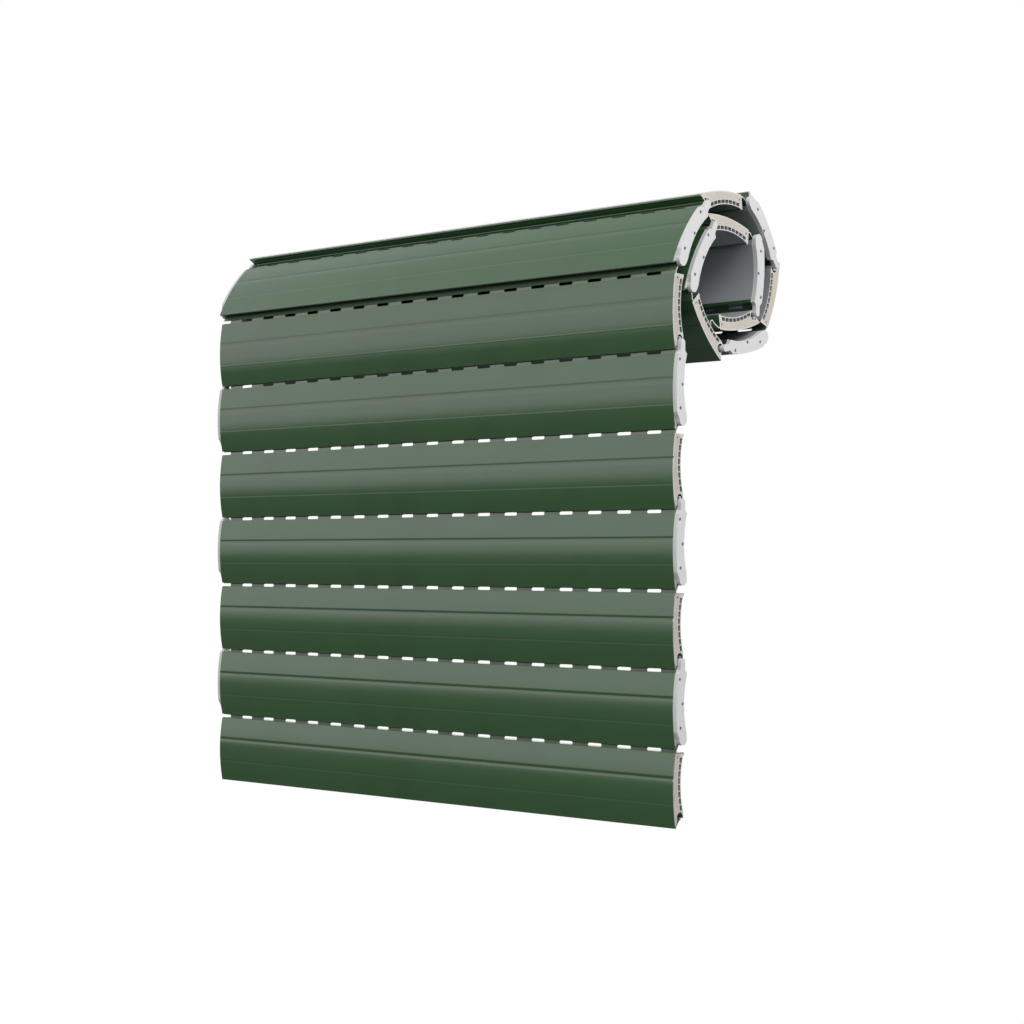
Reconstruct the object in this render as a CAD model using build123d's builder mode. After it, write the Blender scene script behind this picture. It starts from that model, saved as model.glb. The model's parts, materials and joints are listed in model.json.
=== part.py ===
from build123d import *
import math
import os

# Exterior roller shutter curtain: foam-filled slats, hanging below and wound onto a roll above.
# Lengths are millimetres, angles degrees. +X runs along the slats, +Y to the room, +Z up.
# The origin is the hinge line between slat 6 and slat 7, at the middle of the width.

# Curtain
slat_width = 464.0
slat_pitch = 55.0
root_slat = 7

# Lean of each wound slat against the slat below it, from slat 8 to slat 17
wind_turns = (36.1, 46.6, 58.8, 57.0, 57.4, 61.3, 73.0, 65.6, 86.0, 77.8)

# Face of a slat, set out from its upper hinge line
sheet = 0.7
shelf_drop = 9.5
lip_drop = 6.4
lip_width = 1.3
face_edge = 5.5
face_belly = 8.2

# Back of a slat
back_edge = 4.3
back_waist = 1.2
back_margin = 2.0
liner_thickness = 3.8
liner_wall = 0.65
cell_pitch = 4.75
cell_corner = 0.5

# Channel along the foot, which holds the claw of the slat below
channel_radius = 2.85
channel_rise = 1.05
channel_back = 0.25
throat_drop = 3.2
leg_thickness = 0.6
leg_drop = 0.7
leg_slant = 0.7

# Tongue along the top, with the claw that hangs on the bead of the slat above
tongue_sheet = 0.8
tongue_front = 4.0
tongue_step = 7.55
neck_front = 3.3
neck_drop = 6.75
claw_root_front = 1.68
claw_root_drop = 4.2
claw_radius = 1.9
claw_start = -81.0
claw_end = 122.0
bead_radius = 1.2
spur_angle = 232.0

# Light slots punched through the tongue
slot_pitch = 26.0
slot_edge = 18.7
slot_length = 12.5
slot_height = 2.3
slot_drop = 8.05
slot_depth = 2.0

# Foam
foam_toe = 1.7
vent_radius = 0.8
vent_front = 2.2
vent_drop = 12.4

# End caps
cap_thickness = 3.0
cap_inset = 0.2
cap_tab_radius = 2.45
cap_tab_drop = 1.9
cap_shoulder_drop = 7.5
cap_heel_drop = 9.6
cap_foot_radius = 4.3
cap_foot_taper = 5.0
pin_radius = 1.2
pin_depth = 1.6
pin_front_shares = (0.46, 0.06, 0.37)
pin_drop_shares = (0.25, 0.56, 0.86)

# Worked out from the sizes above
half_sheet = sheet / 2
shelf_z = -shelf_drop
lip_z = -slat_pitch - lip_drop
channel_z = -slat_pitch + channel_rise
channel_top_z = channel_z + channel_radius
back_top_z = shelf_z - back_margin
back_foot_z = channel_top_z
face_mid_z = (shelf_z + lip_z) / 2
back_mid_z = (back_top_z + back_foot_z) / 2


def arc_radius(rise, half_chord):
    """Radius of an arc from its rise and half its chord."""
    return (half_chord**2 + rise**2) / (2 * rise)


face_radius = arc_radius(face_belly - face_edge, (shelf_z - lip_z) / 2)
face_centre_y = face_radius - face_belly
back_radius = arc_radius(back_edge - back_waist, (back_top_z - back_foot_z) / 2)
back_centre_y = back_radius + back_waist


def face_point(inset, z):
    """Point of the face arc at height z, moved into the slat by inset."""
    return (face_centre_y - math.sqrt((face_radius - inset) ** 2 - (z - face_mid_z) ** 2), z)


def back_point(inset, z):
    """Point of the back arc at height z, moved into the slat by inset."""
    return (back_centre_y - math.sqrt((back_radius + inset) ** 2 - (z - back_mid_z) ** 2), z)


def slat_arc(point, inset, z_from, z_to):
    """Edge along the face or the back between two heights."""
    return ThreePointArc(point(inset, z_from), point(inset, (z_from + z_to) / 2), point(inset, z_to))


# Middle line of the sheet where it folds up from the lip into the channel
face_lip = face_point(half_sheet, lip_z + half_sheet)
inner_lip = (face_lip[0] + lip_width - sheet, face_lip[1])
throat_y = channel_back - channel_radius - half_sheet
throat = (throat_y, -slat_pitch - throat_drop)
toe_z = lip_z + foam_toe
toe_share = (toe_z - inner_lip[1]) / (throat[1] - inner_lip[1])
toe_inner = (inner_lip[0] + (throat_y - inner_lip[0]) * toe_share, toe_z)
crown = (channel_back, channel_top_z + half_sheet)
heel = (channel_back + channel_radius + half_sheet, -slat_pitch + leg_drop)

half_liner = liner_thickness / 2
cell_count = int((back_top_z - back_foot_z) / cell_pitch)
shoulder_reach = (channel_radius + half_sheet) * math.sqrt(0.5)
channel_shoulder = (channel_back + shoulder_reach, channel_z + shoulder_reach)
cell_radius = back_radius + half_liner
cell_depth = liner_thickness - 2 * liner_wall
cell_height = cell_pitch - liner_wall
cell_span = math.degrees((cell_count - 1) * cell_pitch / cell_radius)
cap_taper_z = -slat_pitch + cap_foot_taper
claw_lean = math.radians(claw_start)
claw_root = (claw_radius * math.cos(claw_lean), claw_radius * math.sin(claw_lean))
spur_reach = throat_y / math.cos(math.radians(spur_angle))

# Rolled skin: flange, shelf, face, folded lip and channel in one strip, with the tongue on top
with BuildSketch(Plane.YZ) as skin_section:
    with BuildLine():
        Polyline(
            (back_edge + half_sheet, back_top_z),
            (back_edge + half_sheet, shelf_z - half_sheet),
            face_point(half_sheet, shelf_z - half_sheet),
        )
        slat_arc(face_point, half_sheet, shelf_z - half_sheet, lip_z + half_sheet)
        Polyline(face_lip, inner_lip, throat, (throat_y, channel_z))
        CenterArc((channel_back, channel_z), channel_radius + half_sheet, 180, -180)
        Line((heel[0], channel_z), heel)
    trace(line_width=sheet)
    with BuildLine():
        Polyline(
            (-tongue_front, shelf_z - half_sheet),
            (-tongue_front, -tongue_step),
            (-neck_front, -neck_drop),
            (-claw_root_front, -claw_root_drop),
            claw_root,
        )
        CenterArc((0, 0), claw_radius, claw_start, claw_end - claw_start)
    trace(line_width=tongue_sheet)
    with BuildLine():
        PolarLine((0, -slat_pitch), spur_reach, spur_angle)
    trace(line_width=tongue_sheet)
    with Locations((0, -slat_pitch)):
        Circle(bead_radius)

# Hollow inner liner: one strip of cells behind the foam, wrapped round the back of the channel
with BuildSketch(Plane.YZ) as liner_blank:
    with BuildLine():
        slat_arc(back_point, 0, back_top_z, back_foot_z)
        Polyline(
            back_point(0, back_foot_z),
            (back_edge, heel[1] - leg_slant),
            (back_edge - leg_thickness, heel[1]),
            heel,
            (heel[0], channel_z),
        )
        ThreePointArc((heel[0], channel_z), channel_shoulder, crown)
        Line(crown, back_point(liner_thickness, crown[1]))
        slat_arc(back_point, liner_thickness, crown[1], shelf_z - half_sheet)
        Polyline(
            back_point(liner_thickness, shelf_z - half_sheet),
            (back_edge, shelf_z - half_sheet),
            (back_edge, back_top_z),
        )
    make_face()
    add(skin_section.sketch_local, mode=Mode.SUBTRACT)

with BuildSketch(Plane.YZ) as liner_section:
    add(liner_blank.sketch_local)
    with Locations((back_centre_y, back_mid_z)):
        with PolarLocations(cell_radius, cell_count, 180 - cell_span / 2, cell_span, endpoint=True):
            RectangleRounded(cell_depth, cell_height, cell_corner, mode=Mode.SUBTRACT)

# Foam that fills the slat between the face, the channel and the liner
with BuildSketch(Plane.YZ) as foam_section:
    with BuildLine():
        Line(back_point(half_liner, shelf_z - half_sheet), face_point(half_sheet, shelf_z - half_sheet))
        slat_arc(face_point, half_sheet, shelf_z - half_sheet, toe_z)
        Polyline(face_point(half_sheet, toe_z), toe_inner, throat, (throat_y, channel_z))
        CenterArc((channel_back, channel_z), channel_radius + half_sheet, 180, -90)
        Line(crown, back_point(half_liner, crown[1]))
        slat_arc(back_point, half_liner, crown[1], shelf_z - half_sheet)
    make_face()
    add(skin_section.sketch_local, mode=Mode.SUBTRACT)
    add(liner_blank.sketch_local, mode=Mode.SUBTRACT)
    with Locations((-vent_front, -vent_drop)):
        Circle(vent_radius, mode=Mode.SUBTRACT)

# End cap outline: the slat's own arch, with a rounded foot over its channel and a tab over the hinge above
with BuildSketch(Plane.YZ) as cap_section:
    with BuildLine():
        slat_arc(face_point, cap_inset, shelf_z - half_sheet, cap_taper_z)
        Line(face_point(cap_inset, cap_taper_z), (-cap_foot_radius, -slat_pitch))
        CenterArc((0, -slat_pitch), cap_foot_radius, 180, 180)
        Line((cap_foot_radius, -slat_pitch), back_point(cap_inset, back_foot_z))
        slat_arc(back_point, cap_inset, back_foot_z, back_top_z)
        Polyline(
            back_point(cap_inset, back_top_z),
            (back_edge + half_sheet, -cap_heel_drop),
            (cap_tab_radius, -cap_shoulder_drop),
            (cap_tab_radius, -cap_tab_drop),
        )
        CenterArc((0, -cap_tab_drop), cap_tab_radius, 0, 180)
        Polyline(
            (-cap_tab_radius, -cap_tab_drop),
            (-cap_tab_radius - cap_inset, -cap_shoulder_drop),
            face_point(cap_inset, shelf_z - half_sheet),
        )
    make_face()

# One slat's pieces, with the upper hinge line along X through the origin
half_width = slat_width / 2
left_end = Plane.YZ.offset(-half_width)
right_end = Plane.YZ.offset(half_width)
slot_count = int((slat_width - slot_edge + slot_length / 2) / slot_pitch) + 1
slot_places = [(half_width - slot_edge - slot_pitch * index, -slot_drop) for index in range(slot_count)]

with BuildPart() as skin:
    with BuildSketch(left_end):
        add(skin_section.sketch_local)
    extrude(amount=slat_width)
    with BuildSketch(Plane.XZ.offset(tongue_front)):
        with Locations(*slot_places):
            SlotOverall(slot_length, slot_height)
    extrude(amount=slot_depth, both=True, mode=Mode.SUBTRACT)

with BuildPart() as foam:
    with BuildSketch(left_end):
        add(foam_section.sketch_local)
    extrude(amount=slat_width)

with BuildPart() as liner:
    with BuildSketch(left_end):
        add(liner_section.sketch_local)
    extrude(amount=slat_width)

pin_places = [
    (-face_belly * front, -slat_pitch * drop) for front, drop in zip(pin_front_shares, pin_drop_shares)
]

with BuildPart() as caps:
    with BuildSketch(right_end):
        add(cap_section.sketch_local)
    extrude(amount=cap_thickness)
    with BuildSketch(right_end.offset(cap_thickness)):
        with Locations(*pin_places):
            Circle(pin_radius)
    extrude(amount=-pin_depth, mode=Mode.SUBTRACT)
    mirror(about=Plane.YZ)


def slat_places():
    """Upper hinge line and lean of every slat, from the lowest to the innermost."""
    places = [Location((0, 0, (number + 1 - root_slat) * slat_pitch)) for number in range(1, root_slat + 1)]
    y, z, lean = 0.0, slat_pitch, 0.0
    for turn in wind_turns:
        lean -= turn
        y -= slat_pitch * math.sin(math.radians(lean))
        z += slat_pitch * math.cos(math.radians(lean))
        places.append(Location((0, y, z), (lean, 0, 0)))
    return places


def write_piece(shape, place, name):
    """Puts one slat's piece where it belongs and writes it out."""
    with BuildPart() as piece:
        with Locations(place):
            add(shape.part)
    piece.part.label = name
    export_step(piece.part, f"parts/{name}.step")


os.makedirs("parts", exist_ok=True)

for number, place in enumerate(slat_places(), start=1):
    slat = f"slat_{number:02d}"
    write_piece(skin, place, f"{slat}_skin")
    write_piece(foam, place, f"{slat}_foam")
    write_piece(liner, place, f"{slat}_liner")
    if number % 2 == 0:
        write_piece(caps, place, f"{slat}_end_caps")
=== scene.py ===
"""Looks of the exterior roller shutter: painted slats, foam, liners, end caps and a plain studio."""
from __future__ import annotations

import json
import logging
import math
from dataclasses import dataclass
from enum import Enum
from typing import Union

import bpy
from mathutils import Matrix, Vector


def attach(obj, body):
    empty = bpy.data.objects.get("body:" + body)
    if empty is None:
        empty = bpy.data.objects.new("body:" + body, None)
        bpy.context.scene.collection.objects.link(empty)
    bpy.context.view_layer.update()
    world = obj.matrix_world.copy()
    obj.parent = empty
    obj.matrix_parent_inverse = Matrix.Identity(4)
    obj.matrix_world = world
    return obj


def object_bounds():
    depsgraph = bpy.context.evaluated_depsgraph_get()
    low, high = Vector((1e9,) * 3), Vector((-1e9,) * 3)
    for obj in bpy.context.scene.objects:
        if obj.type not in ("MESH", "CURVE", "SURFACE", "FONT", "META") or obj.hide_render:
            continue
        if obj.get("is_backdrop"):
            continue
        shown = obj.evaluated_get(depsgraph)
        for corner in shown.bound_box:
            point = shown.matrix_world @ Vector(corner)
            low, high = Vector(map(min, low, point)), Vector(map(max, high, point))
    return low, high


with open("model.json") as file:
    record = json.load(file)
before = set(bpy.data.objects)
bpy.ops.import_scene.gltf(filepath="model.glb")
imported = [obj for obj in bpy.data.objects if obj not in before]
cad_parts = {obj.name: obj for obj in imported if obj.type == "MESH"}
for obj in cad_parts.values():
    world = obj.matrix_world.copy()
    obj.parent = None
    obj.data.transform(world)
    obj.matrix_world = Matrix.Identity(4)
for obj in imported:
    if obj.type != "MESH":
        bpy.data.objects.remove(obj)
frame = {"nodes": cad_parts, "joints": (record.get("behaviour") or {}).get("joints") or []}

Colour = tuple[float, float, float, float]
Feed = Union[bpy.types.NodeSocket, float, Colour]

LOG = logging.getLogger("shutter_looks")
MM = 0.001
WHITE: Colour = (1.0, 1.0, 1.0, 1.0)
FLOAT = "NodeSocketFloat"
VECTOR = "NodeSocketVector"

# Lengths along a slat: from the middle to its sawn end, a cap, and the depth that counts as sawn
HALF_WIDTH = 232.0 * MM
CAP_THICKNESS = 3.0 * MM
END_SKIN = 0.05 * MM

# Heights on a slat's own section, from its upper hinge line
SHELF_Z = -9.5 * MM
LIP_Z = -61.4 * MM

# Step between nodes in a tree, and the colour sockets of a Mix node
NODE_STEP = 180
MIX_SHARE, MIX_FIRST, MIX_SECOND, MIX_RESULT = 0, 6, 7, 2

# Shared masks: how far below a rolled line its ridge lies, in line widths, and where dust starts and is full
RIDGE_DROP = 1.3
DUST_DETAIL = 4.0
DUST_STARTS = 0.45
DUST_FULL = 0.75


class Piece(Enum):
    """Kinds of CAD node in a slat, by the end of the node's name."""

    SKIN = "skin"
    FOAM = "foam"
    LINER = "liner"
    CAPS = "end_caps"


@dataclass(frozen=True)
class Grain:
    """Fine unevenness of a surface: scale per metre, height in metres and strength."""

    scale: float
    height: float
    strength: float


@dataclass(frozen=True)
class RolledLine:
    """One line rolled along a slat's face, in metres, with the shares of painted shade in its groove and
    painted highlight on its ridge.
    """

    up: float
    width: float
    shade_share: float
    highlight_share: float


@dataclass(frozen=True)
class Paint:
    """Coil-coated finish of the slat skin, in linear colour."""

    base: Colour = (0.034, 0.100, 0.033, 1.0)
    shade: Colour = (0.029, 0.086, 0.028, 1.0)
    # line: colour of the painted shade in the grooves of the rolled lines
    line: Colour = (0.010, 0.022, 0.010, 1.0)
    # edge: colour of the painted highlights on the ridges, the tongue and the lip's lower edge
    edge: Colour = (0.20, 0.25, 0.19, 1.0)
    metal: Colour = (0.55, 0.56, 0.55, 1.0)
    end_metallic: float = 0.9
    gloss: float = 1.0
    roughness: float = 0.19
    rough_spread: float = 0.06
    rough_scale: float = 60.0
    dust_scale: float = 14.0
    groove: RolledLine = RolledLine(-27.0 * MM, 2.1 * MM, 0.3, 0.08)
    crease: RolledLine = RolledLine(-44.2 * MM, 0.9 * MM, 0.2, 0.14)
    crease_relief: float = 0.16
    peel_relief: float = 0.03
    peel_detail: float = 2.0
    peel: Grain = Grain(900.0, 0.4 * MM, 0.5)
    # Painted reflection of the sky on the tongue and painted highlight on the lip's lower edge: their
    # heights and shares
    tongue_rise: float = 0.4 * MM
    tongue_reflection: float = 0.4
    lip_band: float = 0.08 * MM
    lip_highlight: float = 0.9


@dataclass(frozen=True)
class Foam:
    """Hard foam core, in linear colour."""

    base: Colour = (0.60, 0.55, 0.48, 1.0)
    # pore: colour of the painted shade in the foam's pores
    pore_shade: Colour = (0.42, 0.34, 0.27, 1.0)
    # soiled: darker, greyer colour that the dust and the hanging slats' darkening mix towards
    darkened: Colour = (0.40, 0.37, 0.34, 1.0)
    roughness: float = 0.85
    dust_scale: float = 40.0
    dust_soil: float = 0.2
    hang_darkening: float = 0.35
    pore_near: float = 0.15
    pore_far: float = 0.55
    pore_shade_share: float = 0.7
    patch_scale: float = 220.0
    patch_starts: float = 0.45
    patch_full: float = 0.7
    cells: Grain = Grain(1400.0, 0.15 * MM, 0.5)


@dataclass(frozen=True)
class Liner:
    """Hollow plastic liner, in linear colour."""

    base: Colour = (0.345, 0.365, 0.385, 1.0)
    dusty: Colour = (0.40, 0.415, 0.425, 1.0)
    cut: Colour = (0.60, 0.58, 0.55, 1.0)
    roughness: float = 0.42
    dust_scale: float = 9.0
    dust_share: float = 0.4
    grain_detail: float = 2.0
    grain: Grain = Grain(1200.0, 0.02 * MM, 0.4)


@dataclass(frozen=True)
class CapPlastic:
    """Moulded end cap, in linear colour."""

    base: Colour = (0.67, 0.67, 0.67, 1.0)
    stain: Colour = (0.55, 0.54, 0.52, 1.0)
    roughness: float = 0.45
    dust_scale: float = 70.0
    dust_share: float = 0.18
    grain_detail: float = 2.0
    grain: Grain = Grain(1600.0, 0.02 * MM, 0.5)


@dataclass(frozen=True)
class PinMetal:
    """Dull metal of the end cap pins, in linear colour."""

    dark: Colour = (0.09, 0.095, 0.11, 1.0)
    pale: Colour = (0.17, 0.175, 0.195, 1.0)
    metallic: float = 0.6
    roughness: float = 0.45
    scratch_scale: float = 2500.0


@dataclass(frozen=True)
class Sky:
    """What surrounds the slats, by the upward part of the view direction."""

    ground: Colour = (0.03, 0.034, 0.03, 1.0)
    zenith: Colour = (0.52, 0.53, 0.54, 1.0)
    horizon: tuple[float, float] = (-0.07, 0.045)
    dome: tuple[float, float] = (0.3, 0.9)
    strength: float = 1.26


@dataclass(frozen=True)
class Floor:
    """Grey floor that the camera sees as white, in metres and linear colour."""

    size: float = 16.0
    drop: float = 0.6
    dark: Colour = (0.10, 0.10, 0.10, 1.0)
    pale: Colour = (0.14, 0.14, 0.14, 1.0)
    cloud_scale: float = 0.8
    cloud_detail: float = 2.0
    roughness: float = 0.9


@dataclass(frozen=True)
class Lamp:
    """Soft square lamp that faces a target, in metres and watts."""

    name: str
    place: tuple[float, float, float]
    target: tuple[float, float, float]
    size: float
    power: float


@dataclass(frozen=True)
class Shot:
    """The photograph's camera: level, in the row frame, in metres and degrees."""

    place: tuple[float, float, float] = (1.0066, -1.1017, -0.1489)
    heading_deg: float = 40.03
    focal_mm: float = 68.48
    sensor_mm: float = 36.0
    shift_up: float = 0.0429
    clip_end: float = 30.0


SIDE_LAMP = Lamp("side", (1.2, -0.15, 0.8), (0.23, 0.05, 0.12), 0.6, 8.5)


@dataclass(frozen=True)
class SlatPlace:
    """Where a slat's upper hinge line lies at rest, and how far the slat leans."""

    number: int
    y: float
    z: float
    lean: float

    @property
    def name(self) -> str:
        """Name of the slat's CAD body."""
        return f"slat_{self.number:02d}"

    @property
    def hangs(self) -> bool:
        """Whether the slat hangs below the roll."""
        return self.lean == 0.0

    @property
    def capped(self) -> bool:
        """Whether the slat carries end caps, as every second one does."""
        return self.number % 2 == 0

    def matrix(self) -> Matrix:
        """Matrix from the slat's own section to the row frame."""
        return Matrix.Translation((0.0, self.y, self.z)) @ Matrix.Rotation(self.lean, 4, "X")


def slat_places() -> list[SlatPlace]:
    """Reads every slat's hinge line and lean from the frame's joints.

    Returns:
        The slats from the lowest to the innermost.
    """
    joints = {joint["name"]: joint for joint in frame["joints"]}
    places = []
    for name in sorted(name for name in joints if name.startswith("fold_")):
        spot = joints[name]["pos_m"]
        places.append(SlatPlace(int(name[-2:]), spot[1], spot[2], 0.0))
    pitch = places[-1].z - places[-2].z
    places.append(SlatPlace(places[-1].number + 1, 0.0, places[-1].z + pitch, 0.0))
    lean = 0.0
    for name in sorted(name for name in joints if name.startswith("unwind_")):
        lean -= math.radians(joints[name]["range_deg"][1])
        foot = joints[name]["pos_m"]
        y = foot[1] - pitch * math.sin(lean)
        z = foot[2] + pitch * math.cos(lean)
        places.append(SlatPlace(int(name[-2:]), y, z, lean))
    return places


class Shader:
    """Small helper that adds nodes and links to one node tree."""

    def __init__(self, tree: bpy.types.NodeTree) -> None:
        """Starts at the left of the tree."""
        self.tree = tree
        self.column = 0

    def node(self, kind: str, **settings: object) -> bpy.types.Node:
        """Adds a node.

        Args:
            kind: Blender's node type.
            settings: properties, or input values under the input's name with spaces as underscores.

        Returns:
            The new node.
        """
        made = self.tree.nodes.new(kind)
        made.location = (self.column * NODE_STEP, 0)
        self.column += 1
        for key, value in settings.items():
            if hasattr(made, key):
                setattr(made, key, value)
            else:
                self.feed(made.inputs[key.replace("_", " ")], value)
        return made

    def feed(self, socket: bpy.types.NodeSocket, value: Feed) -> None:
        """Links a socket, or sets a constant on an input.

        Args:
            socket: the input to feed.
            value: an output to link, or a constant.
        """
        if isinstance(value, bpy.types.NodeSocket):
            self.tree.links.new(value, socket)
        else:
            socket.default_value = value

    def math(self, operation: str, *values: Feed) -> bpy.types.NodeSocket:
        """Adds a Math node.

        Args:
            operation: the node's operation.
            values: what feeds its inputs, in order.

        Returns:
            The node's output.
        """
        made = self.node("ShaderNodeMath", operation=operation)
        for index, value in enumerate(values):
            self.feed(made.inputs[index], value)
        return made.outputs[0]

    def weighted(self, first: Feed, share: float, second: Feed, other: float) -> bpy.types.NodeSocket:
        """Adds two values, each times its own weight.

        Args:
            first: the first value.
            share: the first value's weight.
            second: the second value.
            other: the second value's weight.

        Returns:
            The sum.
        """
        return self.math("ADD", self.math("MULTIPLY", first, share), self.math("MULTIPLY", second, other))

    def ramp(
        self, value: Feed, low: float, high: float, to_low: float = 0.0, to_high: float = 1.0
    ) -> bpy.types.NodeSocket:
        """Maps a value smoothly between two limits.

        Args:
            value: the value to map.
            low: where the ramp starts.
            high: where the ramp ends.
            to_low: the result at the start.
            to_high: the result at the end.

        Returns:
            The mapped value's socket.
        """
        made = self.node("ShaderNodeMapRange", interpolation_type="SMOOTHSTEP")
        for index, part in enumerate((value, low, high, to_low, to_high)):
            self.feed(made.inputs[index], part)
        return made.outputs[0]

    def mix(self, share: Feed, first: Feed, second: Feed) -> bpy.types.NodeSocket:
        """Mixes two colours.

        Args:
            share: how much of the second colour shows.
            first: the first colour.
            second: the second colour.

        Returns:
            The mixed colour's socket.
        """
        made = self.node("ShaderNodeMix", data_type="RGBA")
        self.feed(made.inputs[MIX_SHARE], share)
        self.feed(made.inputs[MIX_FIRST], first)
        self.feed(made.inputs[MIX_SECOND], second)
        return made.outputs[MIX_RESULT]

    def noise(self, vector: Feed, scale: float, detail: float = 3.0) -> bpy.types.NodeSocket:
        """Adds a noise texture.

        Args:
            vector: where the noise is read.
            scale: its scale per metre.
            detail: how many finer layers it has.

        Returns:
            The noise value's socket.
        """
        made = self.node("ShaderNodeTexNoise", Scale=scale, Detail=detail)
        self.feed(made.inputs["Vector"], vector)
        return made.outputs[0]

    def camera_sees(self, rest: bpy.types.NodeSocket, seen: bpy.types.NodeSocket) -> bpy.types.NodeSocket:
        """Shows one shader to the camera and another to every other ray.

        Args:
            rest: the shader that lights the scene.
            seen: the shader that the camera sees.

        Returns:
            The mixed shader's socket.
        """
        pick = self.node("ShaderNodeMixShader")
        self.feed(pick.inputs[0], self.node("ShaderNodeLightPath").outputs["Is Camera Ray"])
        self.feed(pick.inputs[1], rest)
        self.feed(pick.inputs[2], seen)
        return pick.outputs[0]


def new_group(name: str, inputs: tuple, outputs: tuple) -> tuple[bpy.types.NodeTree, Shader]:
    """Starts a shader node group with named sockets.

    Args:
        name: the group's name.
        inputs: (name, socket type) pairs.
        outputs: (name, socket type) pairs.

    Returns:
        The group and a helper for its nodes.
    """
    tree = bpy.data.node_groups.new(name, "ShaderNodeTree")
    for label, kind in inputs:
        tree.interface.new_socket(label, in_out="INPUT", socket_type=kind)
    for label, kind in outputs:
        tree.interface.new_socket(label, in_out="OUTPUT", socket_type=kind)
    return tree, Shader(tree)


def new_material(name: str) -> tuple[bpy.types.Material, Shader, bpy.types.Node]:
    """Starts a material with a Principled shader.

    Args:
        name: the material's name.

    Returns:
        The material, a helper for its nodes and its Principled node.
    """
    material = bpy.data.materials.new(name)
    material.use_nodes = True
    return material, Shader(material.node_tree), material.node_tree.nodes["Principled BSDF"]


def slat_space_group() -> bpy.types.NodeTree:
    """Builds the group that turns object coordinates into a slat's own section.

    Returns:
        The group.
    """
    tree, sh = new_group(
        "slat_space",
        (("Lean", FLOAT), ("Hinge Y", FLOAT), ("Hinge Z", FLOAT)),
        (("Place", VECTOR), ("Along", FLOAT), ("Back", FLOAT), ("Up", FLOAT)),
    )
    given = sh.node("NodeGroupInput").outputs
    coords = sh.node("ShaderNodeTexCoord").outputs["Object"]
    hinge = sh.node("ShaderNodeCombineXYZ", Y=given["Hinge Y"], Z=given["Hinge Z"]).outputs[0]
    offset = sh.node("ShaderNodeVectorMath", operation="SUBTRACT")
    sh.feed(offset.inputs[0], coords)
    sh.feed(offset.inputs[1], hinge)
    turn = sh.node("ShaderNodeVectorRotate", rotation_type="X_AXIS", Vector=offset.outputs[0])
    sh.feed(turn.inputs["Angle"], sh.math("MULTIPLY", given["Lean"], -1.0))
    split = sh.node("ShaderNodeSeparateXYZ", Vector=turn.outputs[0])
    out = sh.node("NodeGroupOutput")
    for label, socket in zip(("Place", "Along", "Back", "Up"), (turn.outputs[0], *split.outputs)):
        sh.feed(out.inputs[label], socket)
    return tree


def cut_end_group() -> bpy.types.NodeTree:
    """Builds the group that gives a mask of the sawn faces at both ends of a slat.

    Returns:
        The group.
    """
    tree, sh = new_group("cut_end", (("Along", FLOAT), ("Reach", FLOAT)), (("Mask", FLOAT),))
    given = sh.node("NodeGroupInput").outputs
    along = sh.math("ABSOLUTE", given["Along"])
    mask = sh.math("GREATER_THAN", along, sh.math("SUBTRACT", given["Reach"], END_SKIN))
    sh.feed(sh.node("NodeGroupOutput").inputs["Mask"], mask)
    return tree


def rolled_line_group() -> bpy.types.NodeTree:
    """Builds the group that gives a rolled line along the face, as masks of its groove and its ridge.

    Returns:
        The group.
    """
    tree, sh = new_group(
        "rolled_line",
        (("Up", FLOAT), ("Line", FLOAT), ("Width", FLOAT)),
        (("Groove", FLOAT), ("Ridge", FLOAT)),
    )
    given = sh.node("NodeGroupInput").outputs
    gap = sh.math("SUBTRACT", given["Up"], given["Line"])
    share = sh.math("DIVIDE", gap, given["Width"])
    groove = sh.ramp(sh.math("ABSOLUTE", share), 0.0, 1.0, 1.0, 0.0)
    ridge = sh.ramp(sh.math("ABSOLUTE", sh.math("ADD", share, RIDGE_DROP)), 0.0, 1.0, 1.0, 0.0)
    out = sh.node("NodeGroupOutput")
    sh.feed(out.inputs["Groove"], groove)
    sh.feed(out.inputs["Ridge"], ridge)
    return tree


def dust_group() -> bpy.types.NodeTree:
    """Builds the group that gives a soft, patchy mask for dust and handling marks.

    Returns:
        The group.
    """
    tree, sh = new_group("dust", (("Place", VECTOR), ("Scale", FLOAT)), (("Mask", FLOAT),))
    given = sh.node("NodeGroupInput").outputs
    patches = sh.noise(given["Place"], given["Scale"], DUST_DETAIL)
    mask = sh.ramp(patches, DUST_STARTS, DUST_FULL)
    sh.feed(sh.node("NodeGroupOutput").inputs["Mask"], mask)
    return tree


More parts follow.
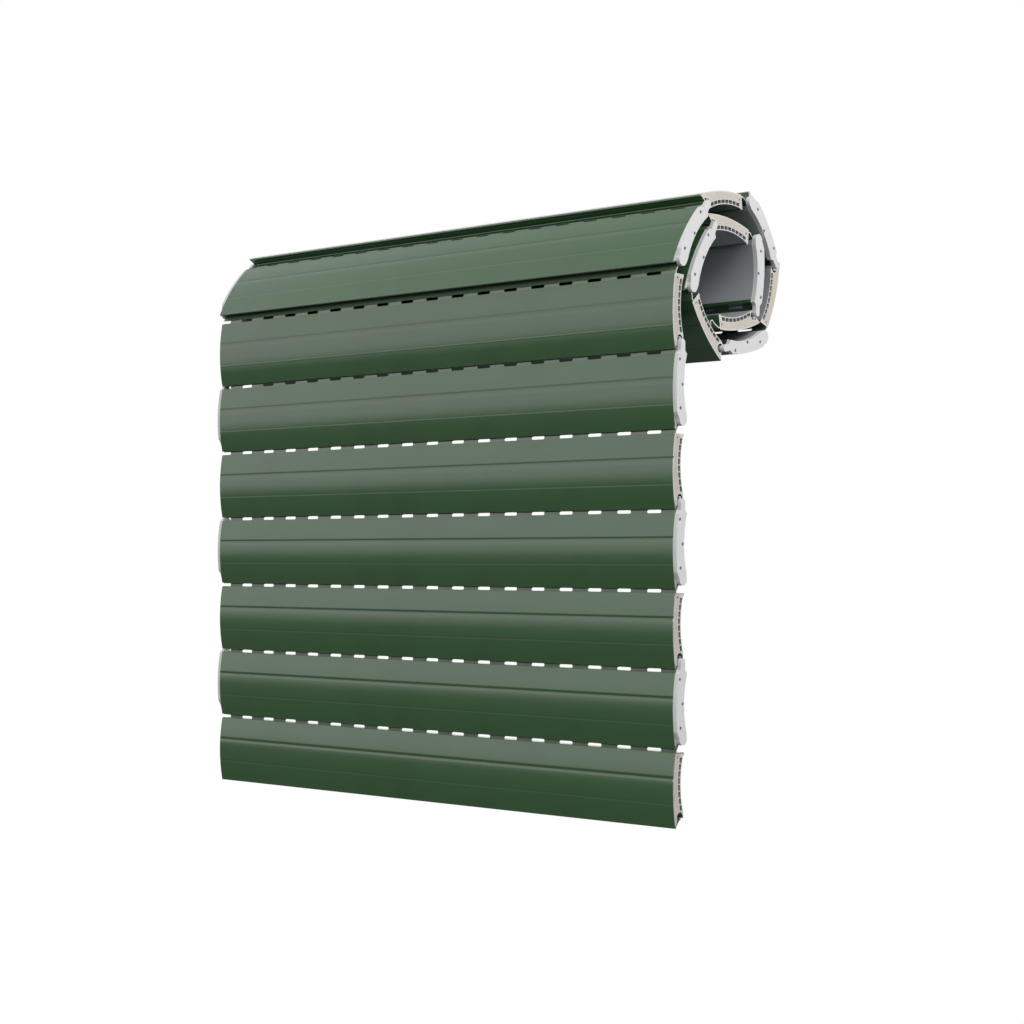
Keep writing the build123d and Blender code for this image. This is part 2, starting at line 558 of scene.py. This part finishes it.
class Finishes:
    """Builds one material for each kind of piece of each slat."""

    def __init__(self) -> None:
        """Builds the shared node groups once."""
        self.space = slat_space_group()
        self.cut_end = cut_end_group()
        self.rolled_line = rolled_line_group()
        self.dust = dust_group()

    def start(
        self, name: str, place: SlatPlace
    ) -> tuple[bpy.types.Material, Shader, bpy.types.Node, bpy.types.NodeOutputs]:
        """Starts a material with a Principled shader and the slat's own coordinates.

        Args:
            name: the material's name.
            place: the slat it is for.

        Returns:
            The material, its node helper, its Principled node and the outputs of the slat space.
        """
        material, sh, bsdf = new_material(name)
        space = sh.node("ShaderNodeGroup", node_tree=self.space)
        space.inputs["Lean"].default_value = place.lean
        space.inputs["Hinge Y"].default_value = place.y
        space.inputs["Hinge Z"].default_value = place.z
        return material, sh, bsdf, space.outputs

    def call(self, sh: Shader, group: bpy.types.NodeTree, **values: Feed) -> bpy.types.NodeOutputs:
        """Adds a group node with its inputs fed.

        Args:
            sh: the helper of the material that uses the group.
            group: the node group.
            values: what feeds each named input.

        Returns:
            The group node's outputs.
        """
        made = sh.node("ShaderNodeGroup", node_tree=group)
        for key, value in values.items():
            sh.feed(made.inputs[key], value)
        return made.outputs

    def line(self, sh: Shader, up: Feed, line: RolledLine) -> bpy.types.NodeOutputs:
        """Adds one rolled line of the face and returns its Groove and Ridge masks."""
        return self.call(sh, self.rolled_line, Up=up, Line=line.up, Width=line.width)

    def bump(self, sh: Shader, bsdf: bpy.types.Node, height: Feed, grain: Grain) -> None:
        """Feeds a bump into the shader's normal.

        Args:
            sh: the material's node helper.
            bsdf: the shader that takes the normal.
            height: the height mask.
            grain: how high and how strong the mask is.
        """
        made = sh.node("ShaderNodeBump", Strength=grain.strength, Distance=grain.height)
        sh.feed(made.inputs["Height"], height)
        sh.feed(bsdf.inputs["Normal"], made.outputs[0])

    def skin(self, place: SlatPlace, paint: Paint = Paint()) -> bpy.types.Material:
        """Painted sheet with two rolled lines along its face, painted shade in their grooves, painted
        highlights on their ridges, the tongue and the lip's lower edge, and bare metal at the sawn ends.

        Args:
            place: the slat it is for.
            paint: the finish's colours and measures.

        Returns:
            The material.
        """
        material, sh, bsdf, space = self.start(f"paint_{place.name}", place)
        groove = self.line(sh, space["Up"], paint.groove)
        crease = self.line(sh, space["Up"], paint.crease)
        dust = self.call(sh, self.dust, Place=space["Place"], Scale=paint.dust_scale)["Mask"]
        tone = sh.mix(dust, paint.base, paint.shade)
        # Painted shade: the grooves of both rolled lines darken towards the line colour
        shade = sh.weighted(groove["Groove"], paint.groove.shade_share, crease["Groove"], paint.crease.shade_share)
        dark = sh.mix(shade, tone, paint.line)
        # Painted highlight on the ridge below each rolled line
        light = sh.weighted(crease["Ridge"], paint.crease.highlight_share, groove["Ridge"], paint.groove.highlight_share)
        # Painted reflection of the sky on the tongue above the shelf, and painted highlight along the lip's
        # lower edge
        tongue = sh.ramp(space["Up"], SHELF_Z, SHELF_Z + paint.tongue_rise)
        lip = sh.math("LESS_THAN", space["Up"], LIP_Z + paint.lip_band)
        painted_reflection = sh.weighted(tongue, paint.tongue_reflection, lip, paint.lip_highlight)
        # Painted highlights and reflections lighten the colour towards the highlight colour
        lit = sh.mix(sh.math("MAXIMUM", light, painted_reflection), dark, paint.edge)
        end = self.call(sh, self.cut_end, Along=space["Along"], Reach=HALF_WIDTH)["Mask"]
        sh.feed(bsdf.inputs["Base Color"], sh.mix(end, lit, paint.metal))
        sh.feed(bsdf.inputs["Metallic"], sh.math("MULTIPLY", end, paint.end_metallic))
        uneven = sh.math("MULTIPLY", sh.noise(space["Place"], paint.rough_scale), paint.rough_spread)
        rough = sh.math("ADD", uneven, paint.roughness - paint.rough_spread / 2)
        sh.feed(bsdf.inputs["Roughness"], rough)
        peel = sh.noise(space["Place"], paint.peel.scale, paint.peel_detail)
        height = sh.math("SUBTRACT", sh.math("MULTIPLY", peel, paint.peel_relief), groove["Groove"])
        height = sh.math("ADD", height, sh.math("MULTIPLY", crease["Ridge"], paint.crease_relief))
        self.bump(sh, bsdf, height, paint.peel)
        bsdf.inputs["Specular IOR Level"].default_value = paint.gloss
        return material

    def foam(self, place: SlatPlace, foam: Foam = Foam()) -> bpy.types.Material:
        """Beige hard foam with fine pores that carry painted shade, darker and greyer on the slats that hang
        below the roll.

        Args:
            place: the slat it is for.
            foam: the finish's colours and measures.

        Returns:
            The material.
        """
        material, sh, bsdf, space = self.start(f"foam_{place.name}", place)
        dust = self.call(sh, self.dust, Place=space["Place"], Scale=foam.dust_scale)["Mask"]
        # The foam of the slats that hang below the roll is made darker and greyer by a fixed share
        hang_darkening = foam.hang_darkening if place.hangs else 0.0
        darkening = sh.math("ADD", sh.math("MULTIPLY", dust, foam.dust_soil), hang_darkening)
        tone = sh.mix(darkening, foam.base, foam.darkened)
        cells = sh.node("ShaderNodeTexVoronoi", Scale=foam.cells.scale, Vector=space["Place"])
        # Painted shade in the pores, in patches
        pores = sh.ramp(cells.outputs["Distance"], foam.pore_near, foam.pore_far, 1.0, 0.0)
        patch = sh.ramp(sh.noise(space["Place"], foam.patch_scale), foam.patch_starts, foam.patch_full)
        mask = sh.math("MULTIPLY", sh.math("MULTIPLY", pores, patch), foam.pore_shade_share)
        sh.feed(bsdf.inputs["Base Color"], sh.mix(mask, tone, foam.pore_shade))
        bsdf.inputs["Roughness"].default_value = foam.roughness
        self.bump(sh, bsdf, pores, foam.cells)
        return material

    def liner(self, place: SlatPlace, liner: Liner = Liner()) -> bpy.types.Material:
        """Grey plastic liner, paler where it is sawn.

        Args:
            place: the slat it is for.
            liner: the finish's colours and measures.

        Returns:
            The material.
        """
        material, sh, bsdf, space = self.start(f"liner_{place.name}", place)
        dust = self.call(sh, self.dust, Place=space["Place"], Scale=liner.dust_scale)["Mask"]
        tone = sh.mix(sh.math("MULTIPLY", dust, liner.dust_share), liner.base, liner.dusty)
        end = self.call(sh, self.cut_end, Along=space["Along"], Reach=HALF_WIDTH)["Mask"]
        sh.feed(bsdf.inputs["Base Color"], sh.mix(end, tone, liner.cut))
        bsdf.inputs["Roughness"].default_value = liner.roughness
        self.bump(sh, bsdf, sh.noise(space["Place"], liner.grain.scale, liner.grain_detail), liner.grain)
        return material

    def caps(self, place: SlatPlace, cap: CapPlastic = CapPlastic()) -> bpy.types.Material:
        """White moulded plastic with a fine grain and a little handling dirt.

        Args:
            place: the slat it is for.
            cap: the finish's colours and measures.

        Returns:
            The material.
        """
        material, sh, bsdf, space = self.start(f"cap_plastic_{place.name}", place)
        dust = self.call(sh, self.dust, Place=space["Place"], Scale=cap.dust_scale)["Mask"]
        tone = sh.mix(sh.math("MULTIPLY", dust, cap.dust_share), cap.base, cap.stain)
        sh.feed(bsdf.inputs["Base Color"], tone)
        bsdf.inputs["Roughness"].default_value = cap.roughness
        self.bump(sh, bsdf, sh.noise(space["Place"], cap.grain.scale, cap.grain_detail), cap.grain)
        return material

    def pins(self, metal: PinMetal = PinMetal()) -> bpy.types.Material:
        """Grey drive pins with fine scratches.

        Args:
            metal: the finish's colours and measures.

        Returns:
            The material.
        """
        material, sh, bsdf = new_material("pin_metal")
        coords = sh.node("ShaderNodeTexCoord").outputs["Object"]
        scratch = sh.noise(coords, metal.scratch_scale)
        sh.feed(bsdf.inputs["Base Color"], sh.mix(scratch, metal.dark, metal.pale))
        bsdf.inputs["Metallic"].default_value = metal.metallic
        bsdf.inputs["Roughness"].default_value = metal.roughness
        return material


def dress_nodes(places: list[SlatPlace], finishes: Finishes) -> None:
    """Gives every CAD node its finish.

    Args:
        places: the slats.
        finishes: what makes the materials.
    """
    makers = {
        Piece.SKIN: finishes.skin,
        Piece.FOAM: finishes.foam,
        Piece.LINER: finishes.liner,
        Piece.CAPS: finishes.caps,
    }
    for place in places:
        for piece, maker in makers.items():
            node = frame["nodes"].get(f"{place.name}_{piece.value}")
            if node is None:
                continue
            material = maker(place)
            for slot in node.material_slots:
                slot.material = material
            LOG.info("dressed %s", node.name)


@dataclass(frozen=True)
class CapPins:
    """Pins of the end caps, in metres, with their places to the back and up on a slat's own section."""

    places: tuple[tuple[float, float], ...] = (
        (-3.77 * MM, -13.75 * MM),
        (-0.49 * MM, -30.8 * MM),
        (-3.03 * MM, -47.3 * MM),
    )
    radius: float = 1.15 * MM
    length: float = 1.0 * MM
    sink: float = 0.45 * MM
    sides: int = 24
    bevel: float = 0.2 * MM
    bevel_steps: int = 3
    smooth_deg: float = 40.0

    def model_one(self) -> bpy.types.Object:
        """Models one pin with rounded rims, upright at the origin.

        Returns:
            The pin.
        """
        bpy.ops.object.select_all(action="DESELECT")
        bpy.ops.mesh.primitive_cylinder_add(vertices=self.sides, radius=self.radius, depth=self.length)
        bpy.ops.object.mode_set(mode="EDIT")
        bpy.ops.mesh.select_all(action="SELECT")
        bpy.ops.mesh.bevel(offset=self.bevel, segments=self.bevel_steps, affect="EDGES")
        bpy.ops.object.mode_set(mode="OBJECT")
        return bpy.context.object

    def add(self, place: SlatPlace, material: bpy.types.Material) -> None:
        """Drives three pins into each end cap of a slat, as one piece that rides on the slat.

        Args:
            place: the slat that carries the caps.
            material: the pins' finish.
        """
        middle = HALF_WIDTH + CAP_THICKNESS - self.sink - self.length / 2
        lying = Matrix.Rotation(math.radians(90), 4, "Y")
        heads = []
        for side in (-1.0, 1.0):
            for y, z in self.places:
                pin = self.model_one()
                pin.data.transform(place.matrix() @ Matrix.Translation((side * middle, y, z)) @ lying)
                heads.append(pin)
        bpy.ops.object.select_all(action="DESELECT")
        for pin in heads:
            pin.select_set(True)
        bpy.context.view_layer.objects.active = heads[0]
        bpy.ops.object.join()
        bpy.ops.object.shade_smooth_by_angle(angle=math.radians(self.smooth_deg))
        group = bpy.context.object
        group.name = f"{place.name}_cap_pins"
        group.data.materials.clear()
        group.data.materials.append(material)
        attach(group, place.name)
        LOG.info("added %s", group.name)


def add_camera(shot: Shot) -> None:
    """Sets up the camera at the photograph's viewpoint.

    Args:
        shot: the camera's place and lens.
    """
    data = bpy.data.cameras.new("shot")
    data.sensor_width = shot.sensor_mm
    data.lens = shot.focal_mm
    data.shift_y = shot.shift_up
    data.clip_end = shot.clip_end
    camera = bpy.data.objects.new("shot", data)
    camera.location = shot.place
    camera.rotation_euler = (math.radians(90), 0.0, math.radians(shot.heading_deg))
    bpy.context.scene.collection.objects.link(camera)
    bpy.context.scene.camera = camera


def add_light(lamp: Lamp) -> None:
    """Adds a soft square lamp that faces its target.

    Args:
        lamp: the lamp's place, target, size and power.
    """
    data = bpy.data.lights.new(lamp.name, "AREA")
    data.shape = "SQUARE"
    data.size = lamp.size
    data.energy = lamp.power
    light = bpy.data.objects.new(lamp.name, data)
    light.location = lamp.place
    aim = Vector(lamp.target) - Vector(lamp.place)
    light.rotation_euler = aim.to_track_quat("-Z", "Y").to_euler()
    bpy.context.scene.collection.objects.link(light)


def add_world(sky: Sky) -> None:
    """White to the eye, a bright sky over dark ground to the slats.

    Args:
        sky: the colours and where they change.
    """
    world = bpy.data.worlds.new("studio")
    bpy.context.scene.world = world
    world.use_nodes = True
    sh = Shader(world.node_tree)
    background = world.node_tree.nodes["Background"]
    out = world.node_tree.nodes["World Output"]
    coords = sh.node("ShaderNodeTexCoord").outputs["Generated"]
    up = sh.node("ShaderNodeSeparateXYZ", Vector=coords).outputs["Z"]
    rise = sh.mix(sh.ramp(up, *sky.horizon), sky.ground, WHITE)
    dome = sh.mix(sh.ramp(up, *sky.dome), rise, sky.zenith)
    sh.feed(background.inputs["Color"], dome)
    background.inputs["Strength"].default_value = sky.strength
    seen = sh.node("ShaderNodeBackground", Color=WHITE, Strength=1.0)
    sh.feed(out.inputs["Surface"], sh.camera_sees(background.outputs[0], seen.outputs[0]))


def add_floor(look: Floor) -> None:
    """Lays a grey floor, white to the eye, well below the hanging curtain.

    Args:
        look: the floor's size, depth and finish.
    """
    low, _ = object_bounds()
    bpy.ops.object.select_all(action="DESELECT")
    bpy.ops.mesh.primitive_plane_add(size=look.size, location=(0.0, 0.0, low[2] - look.drop))
    floor = bpy.context.object
    floor.name = "floor"
    material, sh, bsdf = new_material("floor_pale")
    out = material.node_tree.nodes["Material Output"]
    coords = sh.node("ShaderNodeTexCoord").outputs["Object"]
    cloud = sh.noise(coords, look.cloud_scale, look.cloud_detail)
    sh.feed(bsdf.inputs["Base Color"], sh.mix(cloud, look.dark, look.pale))
    bsdf.inputs["Roughness"].default_value = look.roughness
    seen = sh.node("ShaderNodeEmission", Color=WHITE, Strength=1.0)
    sh.feed(out.inputs["Surface"], sh.camera_sees(bsdf.outputs[0], seen.outputs[0]))
    floor.data.materials.append(material)
    floor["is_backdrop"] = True


def main() -> None:
    """Dresses the shutter and sets the studio."""
    logging.basicConfig(level=logging.INFO)
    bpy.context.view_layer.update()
    places = slat_places()
    finishes = Finishes()
    dress_nodes(places, finishes)
    cap_pins = CapPins()
    pin_metal = finishes.pins()
    for place in places:
        if place.capped:
            cap_pins.add(place, pin_metal)
    add_camera(Shot())
    add_world(Sky())
    add_floor(Floor())
    add_light(SIDE_LAMP)
    bpy.context.scene.view_settings.view_transform = "Standard"


if __name__ == "__main__":
    main()
